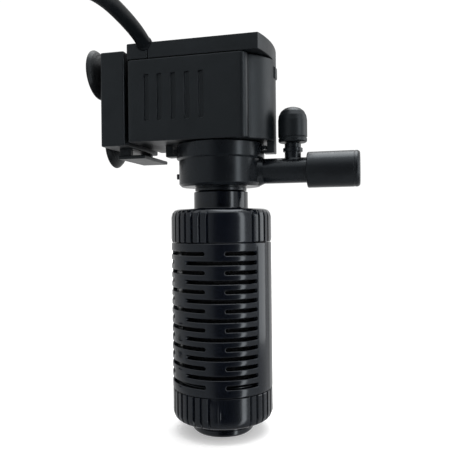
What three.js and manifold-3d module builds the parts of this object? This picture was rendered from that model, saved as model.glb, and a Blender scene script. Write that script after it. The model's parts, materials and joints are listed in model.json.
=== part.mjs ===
// Internal power filter for an aquarium: a submersible pump head on top of a
// slotted sponge cartridge.  Millimetres, +Z up.  The origin is the centre of
// the foot's underside; the pump shaft and the cartridge share the Z axis.
// +X is the outlet side, -X the glass side with the suction cups.
import * as THREE from 'three';
import { mergeVertices } from 'three/addons/utils/BufferGeometryUtils.js';
import Module from 'manifold-3d';

const wasm = await Module();
wasm.setup();

// ---------------------------------------------------------------- dimensions
const GAP = 0.3;                 // clearance between touching pieces

// cartridge
const CART_R = 23.0;             // caps
const BARREL_R = 23.1;
const BARREL_WALL = 2.3;
const COLLAR_R = 20.4;           // cap collars inside the barrel
const FOOT_R = 14.0;
const BOTTOM_CAP_TOP = 19.7;
const BARREL_Z = [20.0, 85.9];
const TOP_CAP_Z = [86.2, 101.0];
const NECK_R = 12.5;
const NECK_BORE = 10.3;
const NECK_TOP = 109.0;
const RIB_PITCH = 10.2;          // degrees
const RIB_DEPTH = 0.5;
const SLOT_ROWS = 15;
const SLOT_TOP = 81.5;           // centre of the top row
const SLOT_PITCH = 4.08;
const SLOT_H = 1.8;
const FACE_AZ = -75.6;           // azimuth that the slot pattern is counted from
const SLOTS_ODD = [[-96, -18], [3.6, 43], [84, 162], [183.6, 223]];
const SLOTS_EVEN = [[-96, -67], [-43.3, 43], [84, 113], [136.7, 223]];
const SPONGE_R = 18.5;
const SPONGE_BORE = 4.0;
const SPONGE_Z = [8.9, 97.0];

// pump chamber and outlet
const CHAMBER_R = 19.2;
const RING_R = 20.3;
const CHAMBER_Z = [111.3, 123.6, 130.7];
const CAVITY_R = 17.3;
const SPIGOT_R = 9.9;
const SPIGOT_BORE = 8.3;
const SPIGOT_Z = 97.5;
const PIPE_Z = 118.0;
const PIPE_R = 5.7;
const PIPE_BORE = 4.5;
const PIPE_END = 52.0;
const SLEEVE_R = 8.0;
const SLEEVE_BORE = 6.05;
const SLEEVE_X = [40.2, 63.0];
const STEM_X = 33.6;
const STEM_R = 3.65;
const STEM_FLANGE_R = 4.4;
const STUB_R = 2.6;
const KNOB_R = 6.5;
const KNOB_Z = [130.4, 146.3];

// motor head
const BODY_LEFT = -37.3;
const BODY_HALF = 21.0;
const BODY_RIGHT = 17.0;         // flat part beside the round end
const BODY_CORNER = 3.0;
const END_C = 6.58;              // round end, bulging out of the right side
const END_R = 19.37;
const BODY_Z = [131.0, 167.3];
const BODY_WALL = 2.0;
const LID_Z = [167.6, 174.6];
const LID_RIGHT = 22.2;
const LID_BULGE = 3.3;
const SEAM_X = -27.4;            // between the cable entry cover and the lid
const FRONT_GROOVES_X = [-28.0, -22.0, -15.6, -9.3, -3.0];
const GROOVE_W = 2.0;
const GROOVE_Z = [140.2, 160.4];
const WELL_R = 9.3;
const WELL_BORE = 8.4;
const WELL_TOP = 160.6;
const MAGNET_R = 7.4;
const MAGNET_Z = [128.5, 156.6];
const SHAFT_R = 1.0;

// bracket and suction cups
const BRACKET_X = [-50.5, -38.8];
const BRACKET_Z = [129.6, 171.9];
const RAIL_HEAD_X = [-45.2, -42.6];
const CUP_R = 11.6;
const CUP_UPPER = [-7.9, 165.85, -3.5];   // Y, Z and tilt in degrees
const CUP_LOWER = [10.6, 134.7, 0];

// supply cord
const CORD_R = 3.25;
const COIL_C = [-133, -52.25];
const COIL_IN = 23.4;
const COIL_OUT = 36.9;
const COIL_H = [0.1, 19.9];

// ---------------------------------------------------------------- materials
const mat = (hex, roughness, metalness = 0) =>
  new THREE.MeshStandardMaterial({ color: new THREE.Color(hex), roughness, metalness });
const SATIN = 0x1b1e21, GLOSS = 0x0b0d12, RUBBER = 0x17181a, CORDC = 0x16181b;

// ---------------------------------------------------------------- helpers
const rad = THREE.MathUtils.degToRad;

function toSolid(geometry) {
  let g = geometry.clone();
  g.deleteAttribute('normal');
  g.deleteAttribute('uv');
  g = mergeVertices(g, 1e-4);
  const idx = Array.from(g.index.array);
  const tri = [];
  for (let i = 0; i < idx.length; i += 3) {
    const [a, b, c] = [idx[i], idx[i + 1], idx[i + 2]];
    if (a !== b && b !== c && c !== a) tri.push(a, b, c);
  }
  return new wasm.Manifold(new wasm.Mesh({
    numProp: 3,
    vertProperties: new Float32Array(g.attributes.position.array),
    triVerts: new Uint32Array(tri),
  }));
}

function toGeometry(solid) {
  const m = solid.getMesh();
  const g = new THREE.BufferGeometry();
  const p = new Float32Array(m.numVert * 3);
  for (let i = 0; i < m.numVert; i++)
    for (let k = 0; k < 3; k++) p[i * 3 + k] = m.vertProperties[i * m.numProp + k];
  g.setAttribute('position', new THREE.BufferAttribute(p, 3));
  g.setIndex(new THREE.BufferAttribute(new Uint32Array(m.triVerts), 1));
  g.computeVertexNormals();
  return g;
}

// prism of a 2-D outline [[x, y], ...] between two heights, holes optional
function prism(outline, z0, z1, holes = []) {
  const s = new THREE.Shape(outline.map(([x, y]) => new THREE.Vector2(x, y)));
  for (const h of holes) s.holes.push(new THREE.Path(h.map(([x, y]) => new THREE.Vector2(x, y))));
  const g = new THREE.ExtrudeGeometry(s, { depth: z1 - z0, bevelEnabled: false, curveSegments: 1 });
  g.translate(0, 0, z0);
  return toSolid(g);
}

// solid of revolution about Z from a profile [[r, z], ...]; a profile with no
// point on the axis is closed on itself
function turned(profile, segments = 40, phase = 0) {
  const pts = profile.map(([r, z]) => new THREE.Vector2(r, z));
  const onAxis = Math.abs(pts[0].x) < 1e-9 && Math.abs(pts[pts.length - 1].x) < 1e-9;
  if (!onAxis) pts.push(pts[0].clone());
  const g = new THREE.LatheGeometry(pts, segments, phase);
  g.rotateX(Math.PI / 2);
  let s = toSolid(g);
  if (s.volume() < 0) {
    const i = g.index.array;
    for (let k = 0; k < i.length; k += 3) { const t = i[k]; i[k] = i[k + 1]; i[k + 1] = t; }
    s = toSolid(g);
  }
  return s;
}

function block(x, y, z) {
  const g = new THREE.BoxGeometry(x[1] - x[0], y[1] - y[0], z[1] - z[0]);
  g.translate((x[0] + x[1]) / 2, (y[0] + y[1]) / 2, (z[0] + z[1]) / 2);
  return toSolid(g);
}

function rod(r, z0, z1, segments = 24) {
  const g = new THREE.CylinderGeometry(r, r, z1 - z0, segments);
  g.rotateX(Math.PI / 2);
  g.translate(0, 0, (z0 + z1) / 2);
  return toSolid(g);
}

const circle = (r, n, cx = 0, cy = 0, a0 = 0) =>
  Array.from({ length: n }, (_, i) => {
    const a = rad(a0 + (360 * i) / n);
    return [cx + r * Math.cos(a), cy + r * Math.sin(a)];
  });

// part of a ring between two radii and two azimuths, in degrees
function sector(r0, r1, a0, a1, z0, z1, step = 10) {
  const n = Math.max(1, Math.ceil((a1 - a0) / step));
  const out = [], inn = [];
  for (let i = 0; i <= n; i++) {
    const a = rad(a0 + ((a1 - a0) * i) / n);
    out.push([r1 * Math.cos(a), r1 * Math.sin(a)]);
    inn.unshift([r0 * Math.cos(a), r0 * Math.sin(a)]);
  }
  return prism([...out, ...inn], z0, z1);
}

const group = new THREE.Group();
function add(name, solidOrGeometry, material) {
  const g = solidOrGeometry.isBufferGeometry ? solidOrGeometry : toGeometry(solidOrGeometry);
  const m = new THREE.Mesh(g, material);
  m.name = name;
  group.add(m);
  return m;
}

// ---------------------------------------------------------------- cartridge
// ring outline with grip grooves, left plain over two opposite panels
function ribbedRing(plainAt, plainWide, rIn, z0, z1) {
  const pts = [];
  const half = plainWide / 2;
  for (const turn of [0, 180]) {
    const a0 = plainAt + half + turn, a1 = plainAt + 180 - half + turn;
    const n = Math.round((a1 - a0) / RIB_PITCH);
    const p = (a1 - a0) / n;
    for (let i = 0; i < n; i++) {
      const b = a0 + i * p;
      for (const [t, r] of [[0.0, CART_R], [0.55, CART_R], [0.66, CART_R - RIB_DEPTH], [0.9, CART_R - RIB_DEPTH]]) {
        const a = rad(b + t * p);
        pts.push([r * Math.cos(a), r * Math.sin(a)]);
      }
    }
    for (let i = 0; i < 5; i++) {
      const a = rad(a1 + (plainWide * i) / 5);
      pts.push([CART_R * Math.cos(a), CART_R * Math.sin(a)]);
    }
  }
  return prism(pts, z0, z1, [circle(rIn, 24).reverse()]);
}

const bottomCap = turned([
  [0, 0], [13.2, 0], [FOOT_R, 0.9], [FOOT_R, 5.4], [18.8, 6.0], [21.2, 7.3], [22.5, 9.4],
  [22.5, BOTTOM_CAP_TOP], [COLLAR_R, BOTTOM_CAP_TOP], [COLLAR_R, 23.9], [19.0, 23.9], [19.0, 8.5], [0, 8.5],
], 32).add(ribbedRing(FACE_AZ + 3.8, 54, 22.0, 9.6, BOTTOM_CAP_TOP));
add('cartridge_bottom_cap', bottomCap, mat(GLOSS, 0.22));

let barrel = turned([
  [BARREL_R - BARREL_WALL, BARREL_Z[0]], [BARREL_R, BARREL_Z[0]],
  [BARREL_R, BARREL_Z[1]], [BARREL_R - BARREL_WALL, BARREL_Z[1]],
], 30);
for (let row = 0; row < SLOT_ROWS; row++) {
  const z = SLOT_TOP - SLOT_PITCH * row;
  for (const [a0, a1] of row % 2 ? SLOTS_EVEN : SLOTS_ODD)
    barrel = barrel.subtract(
      sector(19.5, 24.5, FACE_AZ + a0, FACE_AZ + a1, z - SLOT_H / 2, z + SLOT_H / 2, 40));
}
add('strainer_barrel', barrel, mat(GLOSS, 0.2));

const topCap = turned([
  [NECK_BORE, NECK_TOP], [NECK_R, NECK_TOP], [NECK_R, TOP_CAP_Z[1]], [20.4, TOP_CAP_Z[1]],
  [22.0, 100.2], [22.5, 98.4], [22.5, TOP_CAP_Z[0]], [COLLAR_R, TOP_CAP_Z[0]], [COLLAR_R, 82.4],
  [19.0, 82.4], [19.0, 98.6], [NECK_BORE, 98.6],
], 32).add(ribbedRing(FACE_AZ + 9.7, 55, 22.0, TOP_CAP_Z[0], 98.2));
add('cartridge_top_cap', topCap, mat(GLOSS, 0.22));

add('filter_sponge', turned([
  [SPONGE_BORE, SPONGE_Z[0]], [SPONGE_R, SPONGE_Z[0]], [SPONGE_R, SPONGE_Z[1]], [SPONGE_BORE, SPONGE_Z[1]],
], 24), mat(0x202224, 0.95));

// ---------------------------------------------------------------- chamber
const alongX = (solid) => solid.rotate([0, 90, 0]).translate([0, 0, PIPE_Z]);
let chamber = turned([
  [SPIGOT_BORE, SPIGOT_Z], [SPIGOT_R, SPIGOT_Z], [SPIGOT_R, 109.3], [11.9, 109.3], [11.9, CHAMBER_Z[0]],
  [18.4, CHAMBER_Z[0]], [CHAMBER_R, 112.3], [CHAMBER_R, CHAMBER_Z[1]], [RING_R, CHAMBER_Z[1] + 0.6],
  [RING_R, CHAMBER_Z[2]], [19.0, CHAMBER_Z[2]], [19.0, 127.0], [CAVITY_R, 127.0], [CAVITY_R, 113.3],
  [SPIGOT_BORE, 113.3],
], 32);
chamber = chamber.add(alongX(rod(PIPE_R, 17.0, PIPE_END, 20)));
chamber = chamber.subtract(alongX(rod(PIPE_BORE, 10, PIPE_END + 1, 16)));
// spider that holds the lower bush across the inlet
const spider = rod(3.4, 111.5, 115.2, 12)
  .add(block([-8.8, 8.8], [-0.8, 0.8], [111.5, 113.2]))
  .add(block([-0.8, 0.8], [-8.8, 8.8], [111.5, 113.2]));
chamber = chamber.add(spider).subtract(rod(2.4, 112.4, 116, 12));
// bayonet lugs and a small index pip
for (const a of [0, 180]) chamber = chamber.add(sector(20.0, 22.2, a - 9, a + 9, 127.7, 129.3, 9));
chamber = chamber.add(block([-21.2, -18.8], [-1.2, 1.2], [115.4, 117.9]));
// air intake stem with its flange and the stub that the knob turns on
const stem = turned([
  [0, 121.5], [STEM_R, 121.5], [STEM_R, 126.1], [STEM_FLANGE_R, 126.4], [STEM_FLANGE_R, 127.8], [STEM_R, 128.1],
  [STEM_R, 130.0], [STUB_R, 130.0], [STUB_R, 140.5], [0, 140.5],
], 16).translate([STEM_X, 0, 0]);
chamber = chamber.add(stem)
  .subtract(alongX(rod(PIPE_BORE, 10, PIPE_END + 1, 16)))
  .subtract(rod(1.1, 118, 141, 8).translate([STEM_X, 0, 0]));
add('pump_chamber', chamber, mat(SATIN, 0.42));

add('air_valve_knob', turned([
  [0, 141.0], [STUB_R + 0.35, 141.0], [STUB_R + 0.35, KNOB_Z[0]], [5.9, KNOB_Z[0]], [6.4, 130.9], [6.4, 132.2],
  [6.15, 132.5], [KNOB_R, 132.9], [KNOB_R, 140.2], [6.2, 142.3], [5.2, 144.3], [3.6, 145.6], [1.8, 146.2],
  [0, KNOB_Z[1]],
], 20).translate([STEM_X, 0, 0]), mat(SATIN, 0.4));

add('outlet_sleeve', alongX(turned([
  [SLEEVE_BORE, SLEEVE_X[0]], [SLEEVE_R - 0.4, SLEEVE_X[0]], [SLEEVE_R, SLEEVE_X[0] + 0.5],
  [SLEEVE_R, SLEEVE_X[1] - 1.4], [SLEEVE_R - 0.4, SLEEVE_X[1] - 0.4], [SLEEVE_R - 1.0, SLEEVE_X[1]],
  [SLEEVE_BORE, SLEEVE_X[1]],
], 24)), mat(SATIN, 0.38));

// ---------------------------------------------------------------- rotor
add('lower_shaft_bush', turned([[SHAFT_R + GAP, 112.7], [2.0, 112.7], [2.0, 115.0], [SHAFT_R + GAP, 115.0]], 16),
  mat(RUBBER, 0.8));
add('upper_shaft_bush', turned([[SHAFT_R + GAP, 157.3], [8.05, 157.3], [8.05, 158.9], [SHAFT_R + GAP, 158.9]], 24),
  mat(RUBBER, 0.8));
add('ceramic_shaft', rod(SHAFT_R, 112.8, 158.6, 14), mat(0xe8e6e0, 0.3));
add('rotor_magnet', turned([
  [SHAFT_R + 0.5, MAGNET_Z[0]], [MAGNET_R, MAGNET_Z[0]], [MAGNET_R, MAGNET_Z[1]], [SHAFT_R + 0.5, MAGNET_Z[1]],
], 28), mat(0x2a2a2c, 0.5, 0.3));
let impeller = turned([
  [SHAFT_R + 0.5, 115.6], [3.2, 115.6], [4.4, 116.6], [4.4, 123.0], [12.5, 123.0], [12.5, 124.0],
  [5.4, 124.0], [5.4, 128.2], [SHAFT_R + 0.5, 128.2],
], 20);
for (let i = 0; i < 6; i++)
  impeller = impeller.add(block([3.9, 12.3], [-0.7, 0.7], [116.8, 123.4]).rotate([0, 0, i * 60]));
add('impeller', impeller, mat(0xd9dadb, 0.35));

// ---------------------------------------------------------------- motor head
function bodyOutline(inset, left = BODY_LEFT, seg = 14) {
  const h = BODY_HALF - inset, r = END_R - inset, x0 = left + inset, c = Math.max(0.6, 1.6 - inset);
  const k = BODY_CORNER - inset, kx = BODY_RIGHT - BODY_CORNER, ky = BODY_HALF - BODY_CORNER;
  const a = Math.acos((BODY_RIGHT - inset - END_C) / r);
  const pts = [[x0 + c, -h]];
  for (let i = 0; i <= 3; i++) pts.push([kx + k * Math.cos(rad(30 * i - 90)), -ky + k * Math.sin(rad(30 * i - 90))]);
  for (let i = 0; i <= seg; i++) {
    const t = -a + (2 * a * i) / seg;
    pts.push([END_C + r * Math.cos(t), r * Math.sin(t)]);
  }
  for (let i = 0; i <= 3; i++) pts.push([kx + k * Math.cos(rad(30 * i)), ky + k * Math.sin(rad(30 * i))]);
  pts.push([x0 + c, h], [x0 + 0.3 * c, h - 0.3 * c], [x0, h - c], [x0, -h + c], [x0 + 0.3 * c, -h + 0.3 * c]);
  return pts;
}
let housing = prism(bodyOutline(0), BODY_Z[0], BODY_Z[1])
  .subtract(prism(bodyOutline(BODY_WALL), BODY_Z[0] + BODY_WALL, BODY_Z[1] + 5))
  .subtract(rod(WELL_R + 0.4, BODY_Z[0] - 1, BODY_Z[0] + 4, 32));
for (const x of FRONT_GROOVES_X)
  housing = housing.subtract(block([x - GROOVE_W / 2, x + GROOVE_W / 2], [-BODY_HALF - 1, -BODY_HALF + 0.8], GROOVE_Z));
// rail for the bracket, bayonet hooks, lid latch nib
housing = housing
  .add(block([RAIL_HEAD_X[1] - 0.5, BODY_LEFT + 1], [-4, 4], [134.2, 165.5]))
  .add(block(RAIL_HEAD_X, [-7, 7], [134.2, 165.5]))
  .add(block([24.3, 26.6], [-2.6, 2.6], [159.4, 164.8]).intersect(prism(circle(26.5, 32), 159, 165)));
for (const a of [0, 180]) {
  housing = housing
    .add(sector(22.6, 25.9, a - 8, a + 8, 125.9, 131.6, 8))
    .add(sector(20.7, 22.8, a - 8, a + 8, 125.9, 127.3, 8));
}
add('motor_housing', housing, mat(SATIN, 0.45));

add('rotor_well', turned([
  [0, WELL_TOP], [0, 159.4], [WELL_BORE, 159.4], [WELL_BORE, 129.3], [15.4, 129.3], [15.4, 124.6], [16.8, 124.6],
  [16.8, 130.7], [WELL_R, 130.7], [WELL_R, WELL_TOP],
].reverse(), 28), mat(SATIN, 0.5));
add('chamber_seal_ring', turned(
  Array.from({ length: 6 }, (_, i) => [17.9 + 0.7 * Math.cos(rad(60 * i)), 128.05 + 0.7 * Math.sin(rad(60 * i))]), 24),
  mat(RUBBER, 0.7));

// U-shaped laminated core: yoke on the glass side, two pole legs round the well
const core = block([-33.0, -26.0], [-17, 17], [137.5, 155.5])
  .add(block([-27.0, 9.0], [-17, -8.5], [137.5, 155.5]))
  .add(block([-27.0, 9.0], [8.5, 17], [137.5, 155.5]))
  .subtract(rod(WELL_R + 0.5, 137, 156, 32))
  .intersect(prism(bodyOutline(BODY_WALL + 0.4), 130, 170));
add('stator_core', core, mat(0x8a8d90, 0.4, 0.8));
const bobbin = block([-34.6, -24.4], [-7.9, -6.9], [134.4, 158.6])
  .add(block([-34.6, -24.4], [6.9, 7.9], [134.4, 158.6]))
  .add(block([-34.3, -24.7], [-7.5, 7.5], [136.0, 157.0]))
  .subtract(block([-33.3, -25.7], [-9, 9], [137.2, 155.8]));
add('coil_bobbin', bobbin, mat(0xd8d4c8, 0.5));
const winding = block([-35.0, -22.2], [-6.6, 6.6], [133.9, 159.1])
  .subtract(block([-34.6, -24.4], [-8, 8], [135.7, 157.3]))
  .subtract(rod(WELL_R + 0.4, 130, 162, 32));
add('coil_winding', winding, mat(0xb5642d, 0.35, 0.9));
add('potting_resin', prism(bodyOutline(BODY_WALL + 0.3), 161.0, 163.6), mat(0x101214, 0.3));

// lid and cable entry cover, parted at SEAM_X
const lidSolid = (() => {
  const h = BODY_HALF;
  const pts = [[SEAM_X + 0.15, -h], [LID_RIGHT, -h]];
  const R = (h * h + LID_BULGE * LID_BULGE) / (2 * LID_BULGE);
  const cx = LID_RIGHT + LID_BULGE - R, a = Math.asin(h / R);
  for (let i = 1; i < 10; i++) {
    const t = -a + (2 * a * i) / 10;
    pts.push([cx + R * Math.cos(t), R * Math.sin(t)]);
  }
  pts.push([LID_RIGHT, h], [SEAM_X + 0.15, h]);
  return prism(pts, LID_Z[0], LID_Z[1]);
})();
const lidCavity = prism(bodyOutline(BODY_WALL + 0.3, SEAM_X - 0.4), LID_Z[0] - 1, LID_Z[1] - 2.2);
const coverSolid = prism([
  [BODY_LEFT - 0.2 + 1.2, -BODY_HALF], [SEAM_X - 0.15, -BODY_HALF], [SEAM_X - 0.15, BODY_HALF],
  [BODY_LEFT - 0.2 + 1.2, BODY_HALF], [BODY_LEFT - 0.2, BODY_HALF - 1.2], [BODY_LEFT - 0.2, -BODY_HALF + 1.2],
], LID_Z[0], LID_Z[1]);
const coverCavity = block([BODY_LEFT + 2.2, SEAM_X - 2.2], [-BODY_HALF + 2.4, BODY_HALF - 2.4], [LID_Z[0] - 1, LID_Z[1] - 2.2]);

// cord route from inside the cover: up and forward out of the notch, over the
// view's left front, down to the surface and on to the coil
const ROUTE = [
  [-29.7, -8.0, 169.2], [-29.35, -15.0, 172.4], [-29.0, -22.0, 175.3], [-28.9, -28.0, 177.0], [-29.3, -34.0, 178.25],
  [-29.5, -41.0, 179.25], [-29.6, -48.0, 180.0], [-29.9, -55.0, 180.7], [-31.6, -63.0, 181.1], [-36.2, -71.8, 181.1],
  [-43.6, -79.0, 180.5], [-53.0, -83.8, 178.5], [-63.0, -85.6, 174.6], [-72.0, -86.0, 167.6], [-79.0, -86.0, 157.5],
  [-83.2, -86.0, 145.0], [-85.4, -86.0, 130.0], [-86.6, -86.0, 112.0], [-87.4, -86.0, 94.0], [-87.9, -86.0, 76.0],
  [-88.2, -86.0, 60.0], [-88.8, -85.95, 46.0], [-91.0, -85.9, 35.0], [-97.1, -85.85, 25.8], [-104.0, -85.8, 20.6],
  [-110.3, -85.78, 18.1],
];
const V = (p) => new THREE.Vector3(...p);

// tapered strain relief in the notch
const SR_A = V([-29.65, -9.5, 169.9]), SR_B = V([-29.0, -22.4, 175.5]);
const srLen = SR_A.distanceTo(SR_B);
function cone(r0, r1, z0, z1, from, to, seg = 20) {
  const g = new THREE.CylinderGeometry(r1, r0, z1 - z0, seg);
  g.translate(0, (z0 + z1) / 2, 0);
  const q = new THREE.Quaternion().setFromUnitVectors(new THREE.Vector3(0, 1, 0), to.clone().sub(from).normalize());
  g.applyQuaternion(q);
  g.translate(from.x, from.y, from.z);
  return toSolid(g);
}
const relief = cone(4.0, 3.6, 0, srLen, SR_A, SR_B, 16)
  .add(cone(4.6, 4.6, 4.0, 7.0, SR_A, SR_B, 16));
const reliefRoom = cone(5.2, 3.95, -1.0, srLen + 2, SR_A, SR_B, 16)
  .add(cone(5.25, 5.25, 3.6, 7.4, SR_A, SR_B, 16));
add('housing_lid', lidSolid.subtract(lidCavity).subtract(reliefRoom), mat(SATIN, 0.45));
add('cable_entry_cover', coverSolid.subtract(coverCavity).subtract(reliefRoom), mat(SATIN, 0.45));
add('cord_strain_relief', relief, mat(CORDC, 0.55));

// ---------------------------------------------------------------- bracket
{
  const [x0, x1] = BRACKET_X, [z0, z1] = BRACKET_Z, h = 20.6, c = 1.2;
  const outer = prism([
    [x0 + c, -h], [x1 - c, -h], [x1 - 0.3, -h + 0.4], [x1, -h + c], [x1, h - c], [x1 - c, h], [x0 + c, h],
    [x0, h - c], [x0, -h + c], [x0 + 0.3, -h + 0.4],
  ], z0, z1);
  let b = outer
    .subtract(block([x0 + 2, x1 - 2], [-h + 2, h - 2], [z0 + 2, z1 - 2]))
    // stop under the rail
    .add(block([x0 + 3.5, x1 - 1], [-5.2, 5.2], [z0 + 1, z0 + 4.3]))
    // T slot for the rail, open at the top
    .subtract(block([x1 - 3, x1 + 1], [-4.35, 4.35], [133.9, z1 + 1]))
    .subtract(block([RAIL_HEAD_X[0] - 0.35, x1 - 1.9], [-7.35, 7.35], [z1 - 3, z1 + 1]));
  // lip under the housing, on two webs
  b = b.add(block([-47.0, -33.6], [-10.0, 20.6], [124.9, 126.6]))
    .add(block([-46.6, -41.0], [-9.0, -6.0], [126.0, 130.2]))
    .add(block([-46.6, -41.0], [16.0, 19.0], [126.0, 130.2]));
  // clearance holes of the suction cups' studs
  for (const [y, z] of [CUP_UPPER, CUP_LOWER])
    b = b.subtract(alongXat(rod(2.9, x0 - 1, x0 + 4, 16), y, z));
  // room for the lower stud's head above the floor
  b = b.subtract(alongXat(rod(4.0, x0 + 2.2, x0 + 5.2), CUP_LOWER[0], CUP_LOWER[1]));
  add('mounting_bracket', b, mat(SATIN, 0.45));
}
function alongXat(solid, y, z) { return solid.rotate([0, 90, 0]).translate([0, y, z]); }

// suction cup along its own axis: local +Z is the stud, the rim looks to -Z
function suctionCup([y, z, tilt]) {
  const s = turned([
    [0, -4.6], [3.0, -4.8], [7.0, -5.8], [10.2, -7.6], [CUP_R, -7.6], [CUP_R, -6.9], [10.5, -5.7],
    [7.8, -4.0], [4.6, -3.0], [4.3, -2.2], [4.3, -1.0], [2.4, -1.0], [2.4, 2.4], [3.6, 2.6], [3.3, 3.7],
    [1.8, 4.4], [0, 4.6],
  ], 20);
  return s.rotate([0, 90, 0]).rotate([0, tilt, 0]).translate([BRACKET_X[0], y, z]);
}
add('suction_cup_upper', suctionCup(CUP_UPPER), mat(RUBBER, 0.5));
add('suction_cup_lower', suctionCup(CUP_LOWER), mat(RUBBER, 0.5));

// ---------------------------------------------------------------- supply cord
{
  // square section that turns into eight sides; follows the route's samples
  const section = new THREE.Shape(circle(CORD_R, 8, 0, 0, 22.5).map(([x, y]) => new THREE.Vector2(x, y)));
  const curve = new THREE.CatmullRomCurve3(ROUTE.map(V), false, 'centripetal');
  // the tube begins just past the strain relief's tip
  const start = (() => {
    const dir = SR_B.clone().sub(SR_A).normalize();
    for (let i = 0; i <= 4000; i++) {
      const u = i / 4000, p = curve.getPointAt(u);
      if (p.clone().sub(SR_B).dot(dir) > 0.9) return u;
    }
    return 0;
  })();
  const pts = Array.from({ length: 35 }, (_, i) => curve.getPointAt(start + ((1 - start) * i) / 34));
  const path = new THREE.CatmullRomCurve3(pts, false, 'centripetal');
  const g = new THREE.ExtrudeGeometry(section, { steps: 34, bevelEnabled: false, extrudePath: path });
  add('power_cord', toSolid(g), mat(CORDC, 0.5));
}
add('cord_coil', turned([
  [COIL_IN, COIL_H[0]], [COIL_OUT, COIL_H[0]], [COIL_OUT, COIL_H[1]], [COIL_IN, COIL_H[1]],
], 32).translate([COIL_C[0], COIL_C[1], 0]), mat(CORDC, 0.5));
{
  // tie over the bundle, on the side away from the pump
  const w = 2.2, t = 1.2;
  const tie = block([COIL_IN - 0.4 - t, COIL_OUT + 0.4 + t], [-w, w], [0.3, COIL_H[1] + 0.4 + t])
    .subtract(block([COIL_IN - 0.4, COIL_OUT + 0.4], [-w - 1, w + 1], [0, COIL_H[1] + 0.4]));
  add('cord_tie', tie.rotate([0, 0, 135]).translate([COIL_C[0], COIL_C[1], 0]), mat(0x222426, 0.6));
}
// tail of the cord and the flat two-pin plug, beside the coil
const TAIL_X = COIL_C[0] - 33.4;
const TAIL_Y = [COIL_C[1] + 21.9, COIL_C[1] + 28.25];
const alongY = (solid) => solid.rotate([-90, 0, 0]);
add('cord_tail', alongY(rod(CORD_R, TAIL_Y[0], TAIL_Y[1], 8)).translate([TAIL_X, 0, 3.35]), mat(CORDC, 0.5));
{
  const y0 = TAIL_Y[1] + GAP, zc = 6.6;
  // moulded body with its own tapered tail
  const tail = toSolid((() => {
    const g = new THREE.CylinderGeometry(5.0, 3.7, 16, 16);
    g.translate(0, y0 + 8, 0);
    return g;
  })()).translate([TAIL_X, 0, zc - 1.2]);
  const bodyPts = [
    [-6.5, y0 + 15], [6.5, y0 + 15], [10, y0 + 20], [10, y0 + 41], [8.8, y0 + 42.4], [-8.8, y0 + 42.4], [-10, y0 + 41],
    [-10, y0 + 20],
  ];
  const body = prism(bodyPts, 0.1, 13.1).translate([TAIL_X, 0, 0]);
  add('mains_plug', tail.add(body), mat(CORDC, 0.5));
  const pin = (dx) => block([dx - 0.75, dx + 0.75], [y0 + 42.7, y0 + 58.0], [zc - 3.15, zc + 3.15]).translate([TAIL_X, 0, 0]);
  add('plug_pin_left', pin(-6.35), mat(0xc9c6b8, 0.25, 1));
  add('plug_pin_right', pin(6.35), mat(0xc9c6b8, 0.25, 1));
}

export default group;
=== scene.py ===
import json
import math

import bmesh
import bpy
import numpy as np
from mathutils import Matrix, Vector

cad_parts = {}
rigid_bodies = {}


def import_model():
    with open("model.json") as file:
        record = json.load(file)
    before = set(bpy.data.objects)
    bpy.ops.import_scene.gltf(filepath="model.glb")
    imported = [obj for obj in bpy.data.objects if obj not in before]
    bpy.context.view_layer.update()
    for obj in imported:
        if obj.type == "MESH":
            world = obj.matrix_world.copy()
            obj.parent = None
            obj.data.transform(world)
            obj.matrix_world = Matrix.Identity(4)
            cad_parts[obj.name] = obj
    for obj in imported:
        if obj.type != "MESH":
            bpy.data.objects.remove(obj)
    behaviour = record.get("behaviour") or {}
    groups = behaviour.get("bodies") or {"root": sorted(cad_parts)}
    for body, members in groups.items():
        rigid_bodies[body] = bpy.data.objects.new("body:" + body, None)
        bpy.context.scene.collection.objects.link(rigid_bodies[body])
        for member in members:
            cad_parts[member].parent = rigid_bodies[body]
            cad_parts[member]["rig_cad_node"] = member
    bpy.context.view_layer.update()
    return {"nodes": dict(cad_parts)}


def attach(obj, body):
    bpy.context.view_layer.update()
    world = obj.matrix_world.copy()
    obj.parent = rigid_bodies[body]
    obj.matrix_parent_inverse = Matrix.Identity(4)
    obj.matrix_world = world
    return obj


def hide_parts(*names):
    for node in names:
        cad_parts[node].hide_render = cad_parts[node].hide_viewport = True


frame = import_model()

scene = bpy.context.scene
for o in list(scene.objects):
    if not o.name.startswith("body:") and "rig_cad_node" not in o:
        bpy.data.objects.remove(o)

MM = 0.001
rad = math.radians

# ------------------------------------------------------------------ camera
TH, TILT, TURN, BACK, CX, CZ = rad(14.41), rad(-0.26), rad(-0.60), 260.1, 1.72, 94.9
fwd = Vector((-math.sin(TH), math.cos(TH), 0))
right = Vector((math.cos(TH), math.sin(TH), 0))
up = Vector((0, 0, 1))
eye = (-BACK * fwd + CX * right + CZ * up) * MM
f2 = fwd * math.cos(TILT) + up * math.sin(TILT)
u2 = up * math.cos(TILT) - fwd * math.sin(TILT)
r3 = right * math.cos(TURN) + u2 * math.sin(TURN)
u3 = u2 * math.cos(TURN) - right * math.sin(TURN)
cam_data = bpy.data.cameras.new("camera")
cam = bpy.data.objects.new("camera", cam_data)
scene.collection.objects.link(cam)
cam.matrix_world = Matrix((
    (r3.x, u3.x, -f2.x, eye.x), (r3.y, u3.y, -f2.y, eye.y), (r3.z, u3.z, -f2.z, eye.z), (0, 0, 0, 1)))
cam_data.sensor_width = 36
cam_data.lens = 44.8
cam_data.clip_start = 0.01
cam_data.clip_end = 20
scene.camera = cam


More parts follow.
